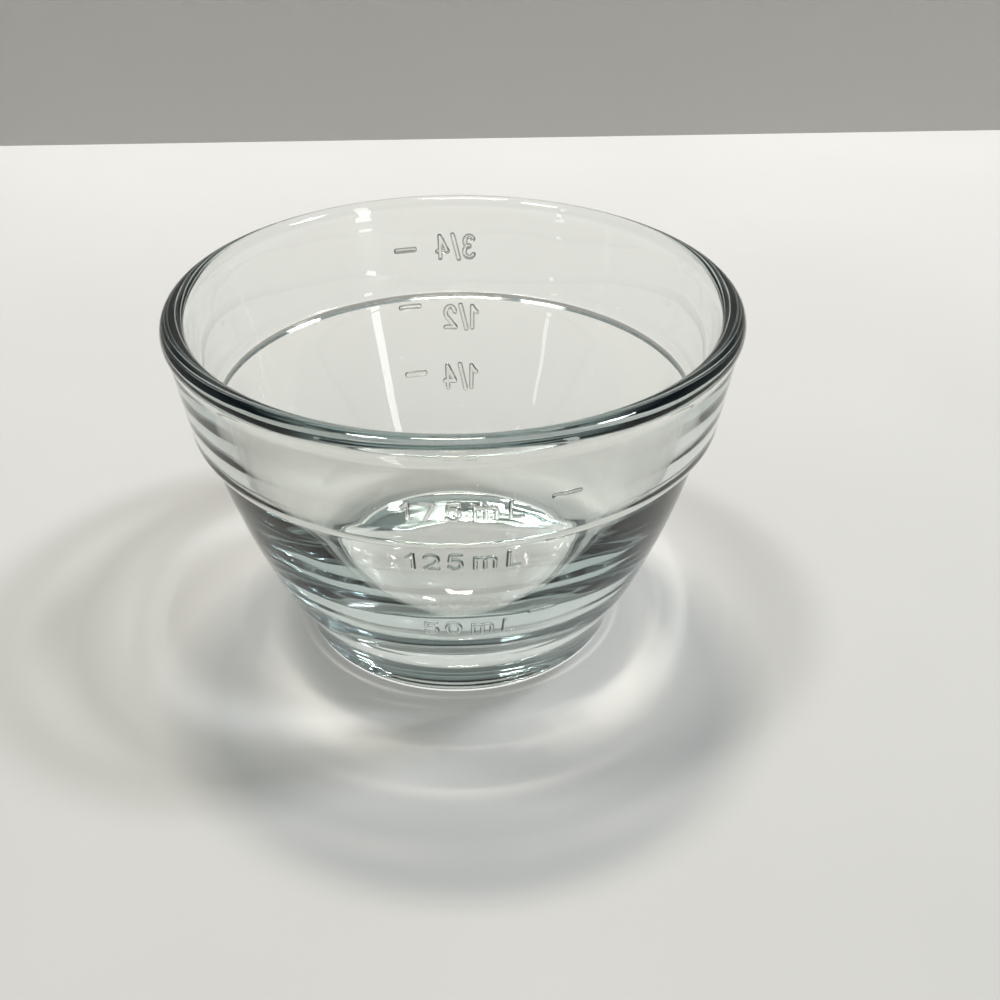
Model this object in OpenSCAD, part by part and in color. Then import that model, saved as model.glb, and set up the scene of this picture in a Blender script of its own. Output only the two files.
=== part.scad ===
// Stackable measuring prep bowl, pressed in clear glass.
// The bowl stands on the table at z = 0 with its axis on +Z.
// The millilitre marks face -Y, the cup marks face +Y.

/* [Rim] */
// Outside diameter over the rim bead
rim_d = 95; // [91:0.2:101]
// Height from the table to the top of the rim
bowl_h = 61.8; // [58:0.2:69]
// Thickness of the round bead along the rim
bead_t = 4; // [3.4:0.1:4.6]
// Depth of the groove outside, under the bead
groove = 0.5; // [0.2:0.1:0.8]

/* [Upper band] */
// How far the shoulder stands out from the lower body
shoulder_w = 2.2; // [1.8:0.1:2.6]
// Height of the shoulder that rests on the rim of the next bowl in a stack
shoulder_h = 41.5; // [38:0.2:46]
// Height over which the shoulder rounds up into the band
shoulder_rise = 3.2; // [2:0.1:4]

/* [Lower body] */
// Gap all round between the lower body and the rim of the bowl that it stacks into
stack_gap = 0.7; // [0.4:0.1:1.2]
// How far the side of the lower body bulges out from a straight cone
body_bulge = 0.8; // [0.3:0.1:1.5]
// Wall thickness right under the shoulder
body_wall = 2.8; // [2.4:0.1:3.4]

/* [Foot] */
// Diameter over the edge of the foot
foot_d = 57.6; // [54:0.2:62]
// Height of the crease where the flared foot meets the lower body
foot_h = 12.3; // [9:0.2:15]
// Outside diameter at that crease
foot_top_d = 67.6; // [64:0.2:72]
// How far the flare of the foot is drawn in from a straight cone
foot_hollow = 0.5; // [0.2:0.1:0.8]
// Radius of the foot's lower edge
foot_edge_r = 1.2; // [0.6:0.1:2]
// Width of the flat ring that the bowl rests on
rest_w = 4.7; // [3:0.1:7]
// Depth of the hollow under the base
base_hollow = 0.8; // [0.4:0.1:1.4]

/* [Cavity] */
// Thickness of the glass at the middle of the floor, over the table
floor_h = 3; // [2.4:0.1:5]
// Wall thickness at the crease above the foot
foot_wall = 6.7; // [5.6:0.1:7.6]
// How far the side of the cavity bulges out from a straight cone
cavity_bulge = 1; // [0.6:0.1:1.6]

/* [Measure marks] */
// Volume of the bowl filled to the brim, one cup, in millilitres
brim_ml = 236.6; // [230:0.2:244]
// Length of a raised bar round the wall
bar_l = 4.6; // [3:0.1:7]
// Height of a raised bar
bar_h = 1; // [0.6:0.1:1.4]
// How far a bar stands out from the wall
bar_relief = 0.35; // [0.2:0.05:0.6]
// Angle of the millilitre bars, to the right of the front
ml_bar_turn = 19.5; // [12:0.5:26]
// Angle of the cup bars, to the right as seen from the back
cup_bar_turn = 12.5; // [8:0.5:20]

/* [Hidden] */
$fn = 72;
wall_steps = 10;
edge_steps = 6;
bead_steps = 10;
glass = "lightcyan";
mark = "lightsteelblue";
// The marks face these ways, measured from +X
ml_side = 270 + ml_bar_turn;
cup_side = 90 + cup_bar_turn;

// The bead stands out from the wall over a groove and runs smoothly into the cavity
bead_r = bead_t / 2;
bead_mid = [rim_d / 2 - bead_r, bowl_h - bead_r];
neck_angle = acos(1 - groove / bead_r);
neck_out = bead_mid + turned([bead_r, 0], -neck_angle);

// The lower body passes through the rim opening, and the shoulder rests on the bead
body_r = bead_mid[0] - bead_r - stack_gap;
shoulder_in = [body_r, shoulder_h];

foot_crease = [foot_top_d / 2, foot_h];
foot_edge = [foot_d / 2, foot_edge_r];
rest_out = [foot_d / 2 - foot_edge_r, 0];
rest_in = [rest_out[0] - rest_w, 0];

// The cavity's side runs from the shoulder down to a corner that leads into the floor
side_top = [body_r - body_wall, shoulder_h];
side_foot = [foot_crease[0] - foot_wall, foot_h];
side_lean = 90 - heading(side_foot, arc_to(side_foot, side_top, cavity_bulge, wall_steps)[0]);
corner_r = (foot_h - floor_h) / (1 - sin(side_lean));
corner_mid = [side_foot[0] - corner_r * cos(side_lean), floor_h + corner_r];

// Above the side, the cavity runs straight up until it touches the bead
bead_way = heading(side_top, bead_mid) + asin(bead_r / norm(bead_mid - side_top));
bead_in = bead_mid + turned([bead_r, 0], bead_way + 90);

// Angle of the way from a to b, above the horizontal
function heading(a, b) = atan2(b[1] - a[1], b[0] - a[0]);

function turned(v, angle) =
    [v[0] * cos(angle) - v[1] * sin(angle), v[0] * sin(angle) + v[1] * cos(angle)];

// Points round a circle from one angle to another, without the first
function round_to(mid, r, from, to, steps) =
    [for (i = [1 : steps]) mid + turned([r, 0], from + (to - from) * i / steps)];

// Points on an arc from a to b, without a, that stands off its chord by bulge on the right
function arc_to(a, b, bulge, steps) =
    let (half = norm(b - a) / 2,
        right = [b[1] - a[1], a[0] - b[0]] / norm(b - a),
        r = (half * half + bulge * bulge) / (2 * bulge),
        mid = (a + b) / 2 + right * (bulge - r),
        sweep = 2 * asin(half / r))
    [for (i = [1 : steps]) mid + turned(a - mid, sweep * i / steps)];

// Points on a quarter of an oval from its lowest point, without it, out and up to its side
function rounded_up(low, width, rise, steps) =
    [for (p = round_to([0, 1], 1, -90, 0, steps)) low + [width * p[0], rise * p[1]]];

// The same points the other way round, without the last
function back_from(pts) = [for (i = [len(pts) - 2 : -1 : 0]) pts[i]];

// Outside of the wall, from the resting ring up to the groove under the bead
outside = concat(
    [rest_out],
    round_to([rest_out[0], foot_edge_r], foot_edge_r, -90, 0, edge_steps),
    arc_to(foot_edge, foot_crease, -foot_hollow, edge_steps),
    arc_to(foot_crease, shoulder_in, body_bulge, wall_steps),
    rounded_up(shoulder_in, shoulder_w, shoulder_rise, edge_steps),
    [neck_out]);

bead_outside = round_to(bead_mid, bead_r, -neck_angle, 90, bead_steps);

// Inside of the cavity, from the middle of the floor up to the top of the rim
cavity = concat(
    [[0, floor_h], [corner_mid[0], floor_h]],
    round_to(corner_mid, corner_r, -90, -side_lean, wall_steps),
    arc_to(side_foot, side_top, cavity_bulge, wall_steps),
    [bead_in],
    round_to(bead_mid, bead_r, bead_way + 90, 90, bead_steps));

// Hollow under the base, from the middle out to the resting ring
base = concat(
    [[0, base_hollow]],
    arc_to([0, base_hollow], rest_in, -base_hollow / 4, edge_steps));

// Volume between two points of the cavity's outline, a slice of a cone
function slice(a, b) =
    PI * (b[1] - a[1]) * (a[0] * a[0] + a[0] * b[0] + b[0] * b[0]) / 3;

// Volume held up to each point of the cavity's outline
fill = [for (i = 0, held = 0; i < len(cavity);
    held = held + (i + 1 < len(cavity) ? slice(cavity[i], cavity[i + 1]) : 0), i = i + 1) held];
brimful = fill[len(fill) - 1];

// Height of the liquid when the bowl holds a share of its brimful volume
function level(share) =
    lookup(share * brimful, [for (i = [0 : len(fill) - 1]) [fill[i], cavity[i][1]]]);

module bowl() {
    color(glass)
        rotate_extrude()
            polygon(concat(outside, bead_outside, back_from(cavity), base));
}

// Half of the section through the bowl below the bead, taken as solid
module filled_side() {
    polygon(concat([[0, 0]], outside, [[0, neck_out[1]]]));
}

// A wedge about the axis that takes a given length of the wall
module wedge(wall_r, length) {
    half_turn = 90 * length / (PI * wall_r);
    linear_extrude(bowl_h)
        polygon([[0, 0], turned([rim_d, 0], -half_turn), turned([rim_d, 0], half_turn)]);
}

// A bar on the outside of the wall, level with a share of the brimful volume
module bar(share, side) {
    wall_r = lookup(level(share), [for (p = outside) [p[1], p[0]]]);
    intersection() {
        rotate_extrude()
            intersection() {
                difference() {
                    translate([bar_relief, 0]) filled_side();
                    filled_side();
                }
                translate([0, level(share) - bar_h / 2]) square([rim_d, bar_h]);
            }
        rotate([0, 0, side]) wedge(wall_r, bar_l);
    }
}

module bar_50_ml() { color(mark) bar(50 / brim_ml, ml_side); }
module bar_125_ml() { color(mark) bar(125 / brim_ml, ml_side); }
module bar_175_ml() { color(mark) bar(175 / brim_ml, ml_side); }
module bar_quarter_cup() { color(mark) bar(1 / 4, cup_side); }
module bar_half_cup() { color(mark) bar(1 / 2, cup_side); }
module bar_three_quarter_cup() { color(mark) bar(3 / 4, cup_side); }

bowl();
bar_50_ml();
bar_125_ml();
bar_175_ml();
bar_quarter_cup();
bar_half_cup();
bar_three_quarter_cup();
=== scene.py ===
"""Stackable measuring prep bowl of clear pressed glass, dressed for the render.

The bowl stands on the floor at z = 0, with its axis on +Z and the millilitre marks facing -Y.
Its sizes are in millimetres and are turned to metres as the meshes are made. The stage, the
camera and the lamps are in metres.
"""

import math

import bpy
import numpy as np
from mathutils import Matrix, Vector


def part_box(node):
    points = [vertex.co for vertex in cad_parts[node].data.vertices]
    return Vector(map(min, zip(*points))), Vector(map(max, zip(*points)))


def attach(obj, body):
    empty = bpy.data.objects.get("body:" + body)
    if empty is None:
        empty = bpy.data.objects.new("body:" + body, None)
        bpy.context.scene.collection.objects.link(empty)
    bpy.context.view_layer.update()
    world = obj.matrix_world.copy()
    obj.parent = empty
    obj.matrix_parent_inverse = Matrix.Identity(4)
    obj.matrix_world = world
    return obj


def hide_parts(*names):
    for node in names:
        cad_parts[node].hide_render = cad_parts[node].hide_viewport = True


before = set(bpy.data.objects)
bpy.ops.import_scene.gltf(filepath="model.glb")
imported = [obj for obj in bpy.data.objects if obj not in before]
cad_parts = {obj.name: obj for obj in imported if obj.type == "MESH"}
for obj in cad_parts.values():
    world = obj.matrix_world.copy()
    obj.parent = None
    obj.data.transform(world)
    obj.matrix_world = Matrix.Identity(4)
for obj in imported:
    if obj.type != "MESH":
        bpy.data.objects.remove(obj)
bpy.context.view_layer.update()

MM = 0.001


# Sizes read from the frame

low, high = (np.array(corner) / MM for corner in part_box("bowl"))
RIM_R = (high[0] - low[0]) / 2
BOWL_H = high[2]

# Rim and upper band
BEAD_T = 4.0
GROOVE = 0.5
SHOULDER_H = 41.5
SHOULDER_W = 2.2
SHOULDER_RISE = 3.2

# Lower body and foot
STACK_GAP = 0.7
BODY_BULGE = 0.8
BODY_WALL = 2.8
FOOT_R = 28.8
FOOT_H = 12.3
FOOT_TOP_R = 33.8
FOOT_HOLLOW = 0.5
FOOT_EDGE_R = 1.2
REST_W = 4.7
BASE_HOLLOW = 0.8

# Cavity
FLOOR_H = 3.0
FOOT_WALL = 6.7
CAVITY_BULGE = 1.0

# Lengths over which fire polishing has rounded the corners off, on each side of the corner
REST_EASING = 0.5
FOOT_EDGE_EASING = 0.4
FOOT_CREASE_EASING = 0.7
SHOULDER_CREASE_EASING = 0.1
BAND_EASING = 0.8
GROOVE_EASING = 1.1
BAND_INSIDE_EASING = 3.0

# Raised marks; a ridge runs out a little past the edge of its stroke
BAR_L = 4.6
BAR_T = 0.9
MARK_RELIEF = 0.33
MARK_SINK = 0.06
MARK_GRID = 0.08
MARK_SPREAD = 1.15


# Profile of the wall

def arc(a, b, bulge, steps=24):
    """Points from a to b on an arc that stands off its chord by bulge, on the right of the way."""
    a, b = np.array(a, float), np.array(b, float)
    half = np.linalg.norm(b - a) / 2
    right = np.array([b[1] - a[1], a[0] - b[0]]) / (2 * half)
    r = (half**2 + bulge**2) / (2 * bulge)
    mid = (a + b) / 2 + right * (bulge - r)
    start = math.atan2(*(a - mid)[::-1])
    angles = start + np.linspace(0, 2 * math.asin(half / r), steps + 1)
    return mid + np.linalg.norm(a - mid) * np.stack([np.cos(angles), np.sin(angles)], -1)


def turn(mid, radii, start, end, steps=16):
    """Points round a circle or an oval from one angle to another, in degrees."""
    angles = np.radians(np.linspace(start, end, steps + 1))
    return np.array(mid) + radii * np.stack([np.cos(angles), np.sin(angles)], -1)


def straight(a, b, steps=12):
    """Points on a straight line."""
    return np.linspace(a, b, steps + 1)


def shortened(leg, by, slack=1e-6):
    """The leg without its last stretch of a given length."""
    run = np.concatenate([[0], np.cumsum(np.linalg.norm(np.diff(leg, axis=0), axis=1))])
    end = run[-1] - by
    tip = [np.interp(end, run, leg[:, 0]), np.interp(end, run, leg[:, 1])]
    return np.vstack([leg[run < end - slack], tip])


def joined(legs, easings, steps=5):
    """One outline from legs that meet at corners, each corner rounded off over its easing."""
    outline = [legs[0]]
    for leg, easing in zip(legs[1:], easings):
        if not easing:
            outline.append(leg[1:])
            continue
        corner = leg[0]
        before = shortened(outline[-1], easing)
        after = shortened(leg[::-1], easing)[::-1]
        t = np.linspace(0, 1, steps + 1)[1:-1, None]
        curve = (1 - t) ** 2 * before[-1] + 2 * t * (1 - t) * corner + t**2 * after[0]
        outline[-1:] = [before, curve, after]
    return np.vstack(outline)


bead_r = BEAD_T / 2
bead_mid = (RIM_R - bead_r, BOWL_H - bead_r)
neck_angle = math.degrees(math.acos(1 - GROOVE / bead_r))
neck_out = turn(bead_mid, bead_r, 0, -neck_angle, steps=1)[1]
body_r = bead_mid[0] - bead_r - STACK_GAP
rest_out_r = FOOT_R - FOOT_EDGE_R
rest_in_r = rest_out_r - REST_W

# The cavity's side runs from the shoulder down to a corner that leads into the floor
side = arc((FOOT_TOP_R - FOOT_WALL, FOOT_H), (body_r - BODY_WALL, SHOULDER_H), CAVITY_BULGE)
side_lean = math.atan2(side[1][0] - side[0][0], side[1][1] - side[0][1])
corner_r = (FOOT_H - FLOOR_H) / (1 - math.sin(side_lean))
corner_mid = (side[0][0] - corner_r * math.cos(side_lean), FLOOR_H + corner_r)

# Above the side, the inside runs straight up until it touches the bead
to_bead = np.array(bead_mid) - side[-1]
bead_way = math.atan2(to_bead[1], to_bead[0]) + math.asin(bead_r / math.hypot(*to_bead))
bead_in = 90 + math.degrees(bead_way)

# Legs of the outside, from the resting ring up to the groove under the bead
outside_legs = [
    turn((rest_out_r, FOOT_EDGE_R), FOOT_EDGE_R, -90, 0),
    arc((FOOT_R, FOOT_EDGE_R), (FOOT_TOP_R, FOOT_H), -FOOT_HOLLOW),
    arc((FOOT_TOP_R, FOOT_H), (body_r, SHOULDER_H), BODY_BULGE),
    turn((body_r, SHOULDER_H + SHOULDER_RISE), (SHOULDER_W, SHOULDER_RISE), -90, 0, steps=24),
    straight((body_r + SHOULDER_W, SHOULDER_H + SHOULDER_RISE), neck_out),
]
outside_easings = [FOOT_EDGE_EASING, FOOT_CREASE_EASING, SHOULDER_CREASE_EASING, BAND_EASING]
outside = joined(outside_legs, outside_easings)


def section():
    """The whole section of the glass, from the middle of the base round to that of the floor."""
    dome = arc((0, BASE_HOLLOW), (rest_in_r, 0), -BASE_HOLLOW / 4)
    ring = straight((rest_in_r, 0), (rest_out_r, 0), steps=4)
    bead = turn(bead_mid, bead_r, -neck_angle, bead_in, steps=36)
    band_inside = straight(bead[-1], side[-1])
    corner = turn(corner_mid, corner_r, -math.degrees(side_lean), -90)
    floor = straight((corner_mid[0], FLOOR_H), (0, FLOOR_H), steps=6)
    legs = [dome, ring, *outside_legs, bead, band_inside, side[::-1], corner, floor]
    easings = [REST_EASING, 0, *outside_easings, GROOVE_EASING, 0, BAND_INSIDE_EASING, 0, 0]
    return joined(legs, easings)


def new_piece(name, points, faces):
    """A smooth-shaded piece from points in metres."""
    mesh = bpy.data.meshes.new(name)
    mesh.from_pydata(points.tolist(), [], faces)
    mesh.validate()
    mesh.polygons.foreach_set("use_smooth", [True] * len(mesh.polygons))
    piece = bpy.data.objects.new(name, mesh)
    bpy.context.collection.objects.link(piece)
    return piece


def revolved(name, outline, steps=288):
    """A closed solid of revolution; the outline starts and ends on the axis."""
    rings = outline[1:-1] * MM
    angles = np.linspace(0, 2 * math.pi, steps, endpoint=False)
    points = np.empty((len(rings), steps, 3))
    points[..., 0] = rings[:, :1] * np.cos(angles)
    points[..., 1] = rings[:, :1] * np.sin(angles)
    points[..., 2] = rings[:, 1:]
    poles = np.array([[0, 0, outline[0][1] * MM], [0, 0, outline[-1][1] * MM]])
    last_ring = (len(rings) - 1) * steps
    first_pole, last_pole = last_ring + steps, last_ring + steps + 1
    faces = []
    for j in range(steps):
        k = (j + 1) % steps
        faces.append((first_pole, k, j))
        for ring in range(0, last_ring, steps):
            faces.append((ring + j, ring + k, ring + steps + k, ring + steps + j))
        faces.append((last_ring + j, last_ring + k, last_pole))
    return new_piece(name, np.vstack([points.reshape(-1, 3), poles]), faces)


# Numerals and letters, each with its width and the centre lines of its strokes, one unit high

def bow(mid, radii, start, end, steps=10):
    """Part of an oval as a list of points, from one angle to another, in degrees."""
    return turn(mid, radii, start, end, steps).tolist()


CHARACTERS = {
    "0": (0.62, [bow((0.31, 0.5), (0.31, 0.5), 0, 360, steps=24)]),
    "1": (0.32, [[(0, 0.74), (0.14, 0.82), (0.28, 1), (0.28, 0)]]),
    "2": (0.62, [bow((0.31, 0.7), (0.3, 0.3), 170, -35) + [(0, 0), (0.62, 0)]]),
    "3": (0.58, [bow((0.27, 0.76), (0.27, 0.24), 150, -90),
                 bow((0.27, 0.27), (0.3, 0.27), 90, -150)]),
    "4": (0.6, [[(0.46, 0), (0.46, 1), (0, 0.3), (0.62, 0.3)]]),
    "5": (0.6, [[(0.56, 1), (0.12, 1), (0.06, 0.55)]
                + bow((0.29, 0.33), (0.3, 0.33), 128, -150)]),
    "7": (0.62, [[(0, 1), (0.62, 1), (0.2, 0)]]),
    "m": (1.06, [[(0.14, 0), (0.14, 0.78)],
                 bow((0.37, 0.54), (0.23, 0.22), 180, 0) + [(0.6, 0)],
                 bow((0.83, 0.54), (0.23, 0.22), 180, 0) + [(1.06, 0)]]),
    "L": (0.66, [[(0.14, 1), (0.14, 0), (0.66, 0)]]),
    "/": (0.36, [[(0, -0.06), (0.36, 1.06)]]),
}


def lettered(words, height, broad, gap, middle, level):
    """Centre lines of the words on the wall, in millimetres round it and up it."""
    width = sum(CHARACTERS[c][0] for c in words) * broad + gap * (len(words) - 1)
    at = middle - width / 2
    lines = []
    for c in words:
        wide, strokes = CHARACTERS[c]
        for stroke in strokes:
            lines.append([(at + x * broad, level + (y - 0.5) * height) for x, y in stroke])
        at += wide * broad + gap
    return lines


def distance_to(lines, x, y):
    """Distance from each point to the nearest of the lines."""
    nearest = np.full(x.shape, np.inf)
    for line in lines:
        for (x0, y0), (x1, y1) in zip(line, line[1:]):
            dx, dy = x1 - x0, y1 - y0
            t = np.clip(((x - x0) * dx + (y - y0) * dy) / (dx * dx + dy * dy), 0, 1)
            nearest = np.minimum(nearest, np.hypot(x - x0 - t * dx, y - y0 - t * dy))
    return nearest


def raised_mark(name, node, words, middle, lift, facing, height, broad, gap, stroke, swell):
    """A bar and its number, raised on the outside of the wall at the CAD bar's level.

    Middle and lift place the number, in millimetres round the wall from the way that it faces
    and up from the bar. A swell of 2 gives a stroke a round ridge, and 1 straight sloping sides.
    """
    lo, hi = (np.array(corner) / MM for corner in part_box(node))
    level = (lo[2] + hi[2]) / 2
    wall_r = np.interp(level, outside[:, 1], outside[:, 0])
    bar_at = math.atan2((lo[1] + hi[1]) / 2, (lo[0] + hi[0]) / 2) - math.radians(facing)
    bar_mid = math.remainder(bar_at, 2 * math.pi) * wall_r
    bar_half = (BAR_L - BAR_T) / 2
    bar = [[(bar_mid - bar_half, level), (bar_mid + bar_half, level)]]
    lines = lettered(words, height, broad, gap, middle, level + lift)

    # Height of the ridges over a fine grid on the wall, which reaches past the lines by a bar
    every = np.array([p for line in lines + bar for p in line])
    (x0, y0), (x1, y1) = every.min(0) - BAR_T, every.max(0) + BAR_T
    x, y = np.meshgrid(np.arange(x0, x1, MARK_GRID), np.arange(y0, y1, MARK_GRID))
    off_crest = np.minimum(distance_to(lines, x, y) / (stroke / 2),
                           distance_to(bar, x, y) / (BAR_T / 2))
    rise = np.clip(MARK_SPREAD - off_crest**swell, 0, MARK_SPREAD) / MARK_SPREAD
    height_over = (MARK_RELIEF + MARK_SINK) * rise ** (1 / swell) - MARK_SINK

    # Cells of the grid that hold some relief, as a closed solid sunk a little into the wall
    solid = rise > 0
    cells = solid[:-1, :-1] | solid[1:, :-1] | solid[:-1, 1:] | solid[1:, 1:]
    angles = math.radians(facing) + x / wall_r
    wall = np.interp(y, outside[:, 1], outside[:, 0])

    def placed(out):
        r = (wall + out) * MM
        return np.stack([r * np.cos(angles), r * np.sin(angles), y * MM], -1).reshape(-1, 3)

    points = np.vstack([placed(height_over), placed(-2 * MARK_SINK)])
    rows, cols = x.shape
    under = rows * cols
    faces = []
    for i, j in zip(*np.nonzero(cells)):
        a = i * cols + j
        b, c, d = a + 1, a + cols + 1, a + cols
        faces.append((a, b, c, d))
        faces.append((under + d, under + c, under + b, under + a))
        for p, q, di, dj in ((a, b, -1, 0), (b, c, 0, 1), (c, d, 1, 0), (d, a, 0, -1)):
            ni, nj = i + di, j + dj
            if not (0 <= ni < rows - 1 and 0 <= nj < cols - 1 and cells[ni, nj]):
                faces.append((q, p, under + p, under + q))
    used, corners = np.unique(faces, return_inverse=True)
    piece = new_piece(name, points[used], corners.reshape(-1, 4).tolist())
    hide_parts(node)
    return piece


# Materials

def linear(hex_colour):
    """A linear colour from an sRGB hex value."""
    channels = [int(hex_colour[i:i + 2], 16) / 255 for i in (1, 3, 5)]
    return [c / 12.92 if c <= 0.04045 else ((c + 0.055) / 1.055) ** 2.4 for c in channels] + [1]


def add(tree, kind, settings=None, links=None):
    """Adds a node, sets its properties and inputs, and links its inputs to other outputs."""
    node = tree.nodes.new(kind)
    for key, value in (settings or {}).items():
        if isinstance(key, int) or key in node.inputs:
            node.inputs[key].default_value = value
        else:
            setattr(node, key, value)
    for key, output in (links or {}).items():
        tree.links.new(output, node.inputs[key])
    return node


def new_material(name):
    """An empty material and its node tree."""
    material = bpy.data.materials.new(name)
    material.use_nodes = True
    material.node_tree.nodes.clear()
    return material, material.node_tree


def soda_lime_glass():
    """Clear soda-lime glass, pressed and fire polished: bright, slightly wavy, faintly bluish."""
    material, tree = new_material("pressed_soda_lime_glass")
    place = add(tree, "ShaderNodeTexCoord").outputs["Object"]
    # Waves left by the mould: long ones 35 mm from crest to crest under short ones of 14 mm
    swells = add(tree, "ShaderNodeTexNoise", {"Scale": 1 / (35 * MM), "Detail": 0.0},
                 {"Vector": place})
    long_waves = add(tree, "ShaderNodeBump", {"Strength": 0.5, "Distance": 0.9 * MM},
                     {"Height": swells.outputs["Fac"]})
    ripples = add(tree, "ShaderNodeTexNoise",
                  {"Scale": 1 / (14 * MM), "Detail": 1.0, "Roughness": 0.4}, {"Vector": place})
    waves = add(tree, "ShaderNodeBump", {"Strength": 0.25, "Distance": 0.4 * MM},
                {"Height": ripples.outputs["Fac"], "Normal": long_waves.outputs["Normal"]})
    # Handling leaves a haze in soft patches about 20 mm across
    patches = add(tree, "ShaderNodeTexNoise", {"Scale": 1 / (20 * MM), "Detail": 3.0},
                  {"Vector": place})
    haze = add(tree, "ShaderNodeMapRange",
               {"From Min": 0.5, "From Max": 0.8, "To Min": 0.0, "To Max": 0.04},
               {"Value": patches.outputs["Fac"]})
    glass = add(tree, "ShaderNodeBsdfPrincipled",
                {"Base Color": linear("#FEFEFC"), "Transmission Weight": 1.0, "IOR": 1.52},
                {"Roughness": haze.outputs["Result"], "Normal": waves.outputs["Normal"]})
    # Iron takes some red, so long ways through the wall look dark and bluish; it is drawn
    # stronger than in real glass, so that they look nearly as dark as in the photo
    iron = add(tree, "ShaderNodeVolumeAbsorption", {"Color": linear("#AABFBF"), "Density": 29.0})
    add(tree, "ShaderNodeOutputMaterial", None,
        {"Surface": glass.outputs["BSDF"], "Volume": iron.outputs["Volume"]})
    return material


# Painted shade: the table's colour darkens a little between these two places, from the wall toward
# the viewer
PALER_Y = 0.26
DARKER_Y = -0.16


def white_laminate(near, far, inner_glow, outer_glow):
    """White laminate, pressed to a satin sheen: pale and even, with soft broad highlights.

    Its emission is painted light: a glow that stands in for the light which the glass gathers
    onto the table and the traced caustics miss. The glow goes over from inner to outer between
    two distances from the bowl's axis.
    """
    material, tree = new_material("white_laminate")
    place = add(tree, "ShaderNodeTexCoord").outputs["Object"]
    where = add(tree, "ShaderNodeSeparateXYZ", None, {"Vector": place})
    # Painted shade: the colour goes from paler at the far edge to darker toward the viewer
    painted_falloff = add(tree, "ShaderNodeMapRange", {"From Min": DARKER_Y, "From Max": PALER_Y},
                {"Value": where.outputs["Y"]})
    # Wiping leaves faint smudges about 90 mm across
    smudges = add(tree, "ShaderNodeTexNoise", {"Scale": 1 / (90 * MM), "Detail": 2.0},
                  {"Vector": place})
    tone = add(tree, "ShaderNodeMix", {"Factor": 0.2},
               {"A": painted_falloff.outputs["Result"], "B": smudges.outputs["Fac"]})
    colour = add(tree, "ShaderNodeMix",
                 {"data_type": "RGBA", "A": linear("#AEADA8"), "B": linear("#DEDDDA")},
                 {"Factor": tone.outputs["Result"]})
    # Painted light: the table glows by its distance from the bowl's axis, fading from inner to
    # outer
    off_axis = add(tree, "ShaderNodeVectorMath", {"operation": "LENGTH"}, {0: place})
    painted_glow = add(tree, "ShaderNodeMapRange",
                   {"interpolation_type": "SMOOTHSTEP", "From Min": near, "From Max": far,
                    "To Min": inner_glow, "To Max": outer_glow},
                   {"Value": off_axis.outputs["Value"]})
    top = add(tree, "ShaderNodeBsdfPrincipled", {"Roughness": 0.5},
              {"Base Color": colour.outputs["Result"],
               "Emission Color": colour.outputs["Result"],
               "Emission Strength": painted_glow.outputs["Result"]})
    add(tree, "ShaderNodeOutputMaterial", None, {"Surface": top.outputs["BSDF"]})
    return material


def matt_wall_paint():
    """Grey emulsion paint, rolled on: matt, so the wall is even and shows no highlight."""
    material, tree = new_material("matt_wall_paint")
    paint = add(tree, "ShaderNodeBsdfPrincipled",
                {"Base Color": linear("#C4C1BD"), "Roughness": 0.9})
    add(tree, "ShaderNodeOutputMaterial", None, {"Surface": paint.outputs["BSDF"]})
    return material


# The bowl and its marks

glass = soda_lime_glass()
bowl = revolved("bowl_glass", section())
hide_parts("bowl")

# Style of the marks: the way that they face in degrees, then in millimetres the height and
# breadth of one unit, the gap between two characters and the width of a stroke
ML = {"facing": -90, "height": 2.95, "broad": 3.3, "gap": 1.6, "stroke": 0.6, "swell": 2}
CUP = {"facing": 90, "height": 4.2, "broad": 3.3, "gap": 1.15, "stroke": 0.8, "swell": 1.2}
marks = [
    raised_mark("mark_50_ml", "bar_50_ml", "50mL", middle=1.5, lift=-2.4, **ML),
    raised_mark("mark_125_ml", "bar_125_ml", "125mL", middle=0.6, lift=-3.4, **ML),
    raised_mark("mark_175_ml", "bar_175_ml", "175mL", middle=0.5, lift=-1.2, **ML),
    raised_mark("mark_quarter_cup", "bar_quarter_cup", "1/4", middle=-1.0, lift=-1.0, **CUP),
    raised_mark("mark_half_cup", "bar_half_cup", "1/2", middle=-1.3, lift=-2.5, **CUP),
    raised_mark("mark_three_quarter_cup", "bar_three_quarter_cup", "3/4",
                middle=-0.4, lift=0.2, **CUP),
]
for piece in [bowl, *marks]:
    piece.data.materials.append(glass)
    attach(piece, "root")


# Stage

def plane(name, corners, material):
    """A flat piece of the stage."""
    piece = new_piece(name, np.array(corners, float), [tuple(range(len(corners)))])
    piece.data.materials.append(material)
    return piece


# The table's far edge runs a little askew; a hair of air stays under the resting ring
TABLE_EDGE_Y = 0.2793
TABLE_EDGE_SKEW = 0.024
TABLE_REACH = 0.9
WALL_TOP = 0.2
AIR_UNDER_FOOT = 0.03 * MM
left, right = -TABLE_REACH, TABLE_REACH
edge_left = TABLE_EDGE_Y + TABLE_EDGE_SKEW * left
edge_right = TABLE_EDGE_Y + TABLE_EDGE_SKEW * right
top_z = -AIR_UNDER_FOOT
# Painted light: the table glows a little within 62 mm of the axis, for light the thick foot sends
# out
laminate = white_laminate(near=36 * MM, far=62 * MM, inner_glow=0.3, outer_glow=0.0)
table = plane("table_top", [(left, -TABLE_REACH, top_z), (right, -TABLE_REACH, top_z),
                            (right, edge_right, top_z), (left, edge_left, top_z)], laminate)

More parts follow.
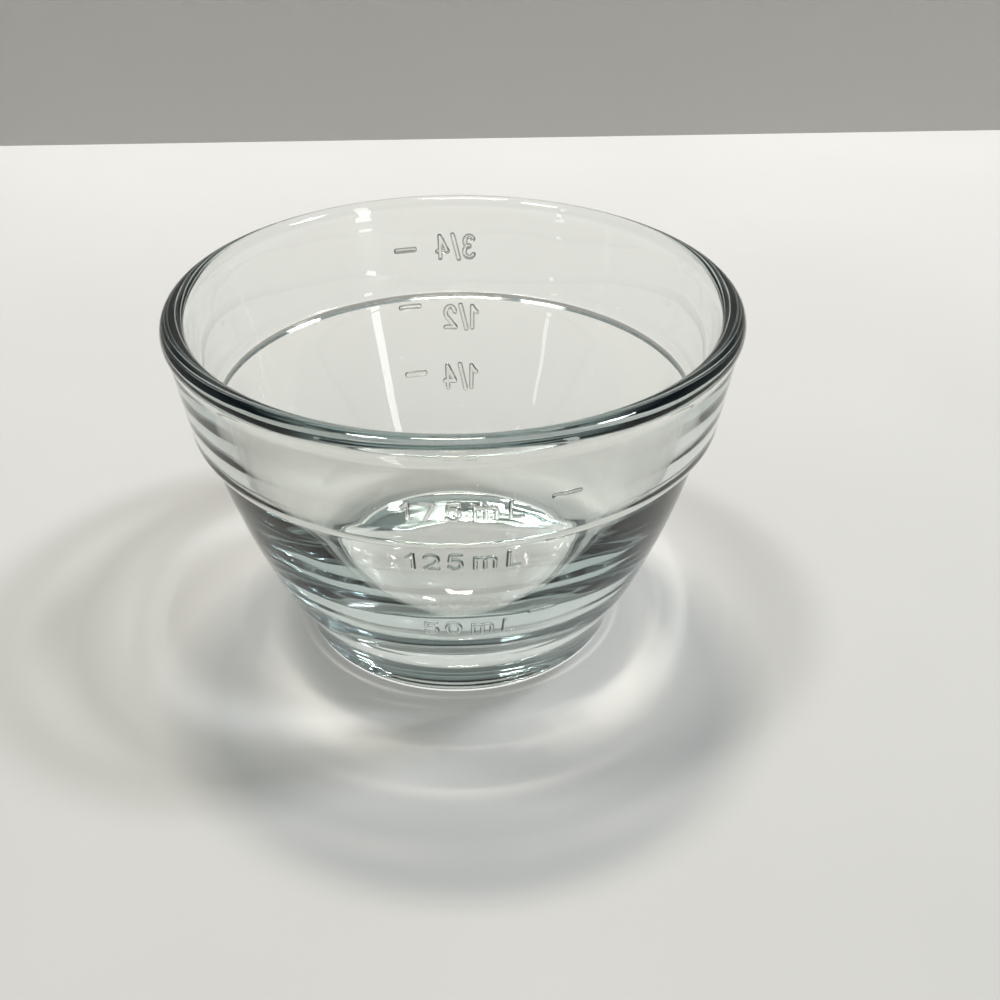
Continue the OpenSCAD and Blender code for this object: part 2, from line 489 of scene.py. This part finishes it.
# The table under the foot is a piece of its own, which the bowl's light rings leave out;
# its stronger glow is painted light, for the light that shines down through the base
FOOT_PRINT_INSET = 0.4
foot_print = turn((0, 0), (FOOT_R - FOOT_PRINT_INSET) * MM, 0, 360, steps=96)[:-1]
laminate_under_foot = white_laminate(near=14 * MM, far=25 * MM, inner_glow=0.85, outer_glow=1.5)
plane("table_under_foot", [(x, y, top_z / 2) for x, y in foot_print], laminate_under_foot)

# The lamps reach the table right up to the wall, as in the photo
wall = plane("back_wall", [(left, edge_left, top_z), (right, edge_right, top_z),
                           (right, edge_right, WALL_TOP), (left, edge_left, WALL_TOP)],
             matt_wall_paint())
wall.visible_shadow = False


# Camera, in the photo's place, as worked out from the ellipses of the rim, crease and foot

IMAGE_PX = 1000
FOCAL_PX = 1200
SENSOR_MM = 36
CAMERA_BACK = 3.8378 * RIM_R * MM
CAMERA_UP = 3.0322 * RIM_R * MM
NEAREST_SEEN = 0.01
PITCH, YAW, ROLL = (math.radians(angle) for angle in (34.087, 2.395, 0.259))

camera = bpy.data.objects.new("camera", bpy.data.cameras.new("camera"))
bpy.context.collection.objects.link(camera)
camera.data.sensor_width = SENSOR_MM
camera.data.lens = FOCAL_PX * SENSOR_MM / IMAGE_PX
camera.data.clip_start = NEAREST_SEEN
camera.matrix_world = (
    Matrix.Translation((0, -CAMERA_BACK, CAMERA_UP))
    @ Matrix.Rotation(-YAW, 4, "Z")
    @ Matrix.Rotation(math.pi / 2 - PITCH, 4, "X")
    @ Matrix.Rotation(ROLL, 4, "Z")
)
bpy.context.scene.camera = camera


# Light

BOWL_MIDDLE = (0, 0, 0.03)


def toward(azimuth, elevation, distance):
    """A place seen from the bowl; the azimuth runs from the back wall round to the right."""
    round_r, up_r = math.radians(azimuth), math.radians(elevation)
    flat = distance * math.cos(up_r)
    return (flat * math.sin(round_r), flat * math.cos(round_r), distance * math.sin(up_r))


def softbox(name, place, size, power, colour="#FFFFFF"):
    """A soft panel that faces the middle of the bowl, with its power in watts."""
    lamp = bpy.data.lights.new(name, "AREA")
    lamp.shape = "RECTANGLE"
    lamp.size, lamp.size_y = size
    lamp.energy = power
    lamp.color = linear(colour)[:3]
    holder = bpy.data.objects.new(name, lamp)
    holder.location = place
    way = Vector(BOWL_MIDDLE) - Vector(place)
    holder.rotation_euler = way.to_track_quat("-Z", "Y").to_euler()
    bpy.context.collection.objects.link(holder)
    return holder


# Two tall windows on the viewer's side draw the bright streaks inside the bowl
softbox("window_right", toward(139, 13, 1.5), size=(0.12, 0.6), power=1.6)
softbox("window_left", toward(-130, 10, 1.5), size=(0.05, 0.4), power=0.25)

# The ceiling panels throw the bright rings that the bowl casts on the table
ceiling_panels = [
    softbox("ceiling_right", toward(84, 57, 3), size=(0.4, 0.4), power=42, colour="#F6F9FF"),
    softbox("ceiling_left", toward(-80, 73, 3), size=(0.4, 0.4), power=24),
    softbox("ceiling_back", toward(-3, 69, 3), size=(0.5, 0.25), power=33, colour="#FFF6EA"),
]
for panel in ceiling_panels:
    panel.data.cycles.is_caustics_light = True
bowl.cycles.is_caustics_caster = True
table.cycles.is_caustics_receiver = True

# The room: pale level with the table, dim halfway up and pale again overhead
HEIGHT_TONES = [(0.0, "#B4B7B6"), (0.4, "#7F868A"), (0.72, "#434F59"), (0.85, "#A0A6A5"),
                (0.93, "#C6CAC7"), (1.0, "#D6D9D6")]
# A pale strip runs over the bowl from the back wall and ends in front of the camera
STRIP_TONES = [(0.5, "#131D25"), (0.66, "#2E3F4B"), (0.79, "#6F787B"), (0.88, "#A0A5A3"),
               (0.95, "#BDC1BD"), (1.0, "#CED1CC")]
STRIP_WAY = (0, 0.45, 0.89)

world = bpy.data.worlds.new("room")
bpy.context.scene.world = world
world.use_nodes = True
tree = world.node_tree
tree.nodes.clear()
way = add(tree, "ShaderNodeTexCoord").outputs["Generated"]
axes = add(tree, "ShaderNodeSeparateXYZ", None, {"Vector": way})
along = add(tree, "ShaderNodeVectorMath", {"operation": "DOT_PRODUCT", 1: STRIP_WAY}, {0: way})
sideways = add(tree, "ShaderNodeMath", {"operation": "MULTIPLY"},
               {0: axes.outputs["X"], 1: axes.outputs["X"]})
endless_strip = add(tree, "ShaderNodeMath", {"operation": "SUBTRACT", 0: 1.0},
                    {1: sideways.outputs["Value"]})
front_end = add(tree, "ShaderNodeMapRange",
                {"From Min": 0.3, "From Max": 0.6, "To Min": 0.6, "To Max": 1.0},
                {"Value": along.outputs["Value"]})
strip = add(tree, "ShaderNodeMath", {"operation": "MINIMUM"},
            {0: endless_strip.outputs["Value"], 1: front_end.outputs["Result"]})
room = add(tree, "ShaderNodeMix", {"data_type": "RGBA", "blend_type": "LIGHTEN", "Factor": 1.0})
for socket, value, tones in (("A", strip.outputs["Value"], STRIP_TONES),
                             ("B", axes.outputs["Z"], HEIGHT_TONES)):
    ramp = add(tree, "ShaderNodeValToRGB", None, {"Fac": value})
    stops = ramp.color_ramp.elements
    while len(stops) < len(tones):
        stops.new(0.5)
    for stop, (position, tone) in zip(stops, tones):
        stop.position = position
        stop.color = linear(tone)
    tree.links.new(ramp.outputs["Color"], room.inputs[socket])
light = add(tree, "ShaderNodeBackground", {"Strength": 1.0}, {"Color": room.outputs["Result"]})
add(tree, "ShaderNodeOutputWorld", None, {"Surface": light.outputs["Background"]})

bpy.context.scene.view_settings.view_transform = "Standard"

# Light passes the thick wall many times, and more bounces would make the sides too bright
LIGHT_BOUNCES = 12
cycles = bpy.context.scene.cycles
cycles.max_bounces = LIGHT_BOUNCES
cycles.transmission_bounces = LIGHT_BOUNCES
cycles.glossy_bounces = LIGHT_BOUNCES
# Without a clamp, the bright rings and glints keep their full strength
cycles.sample_clamp_indirect = 0
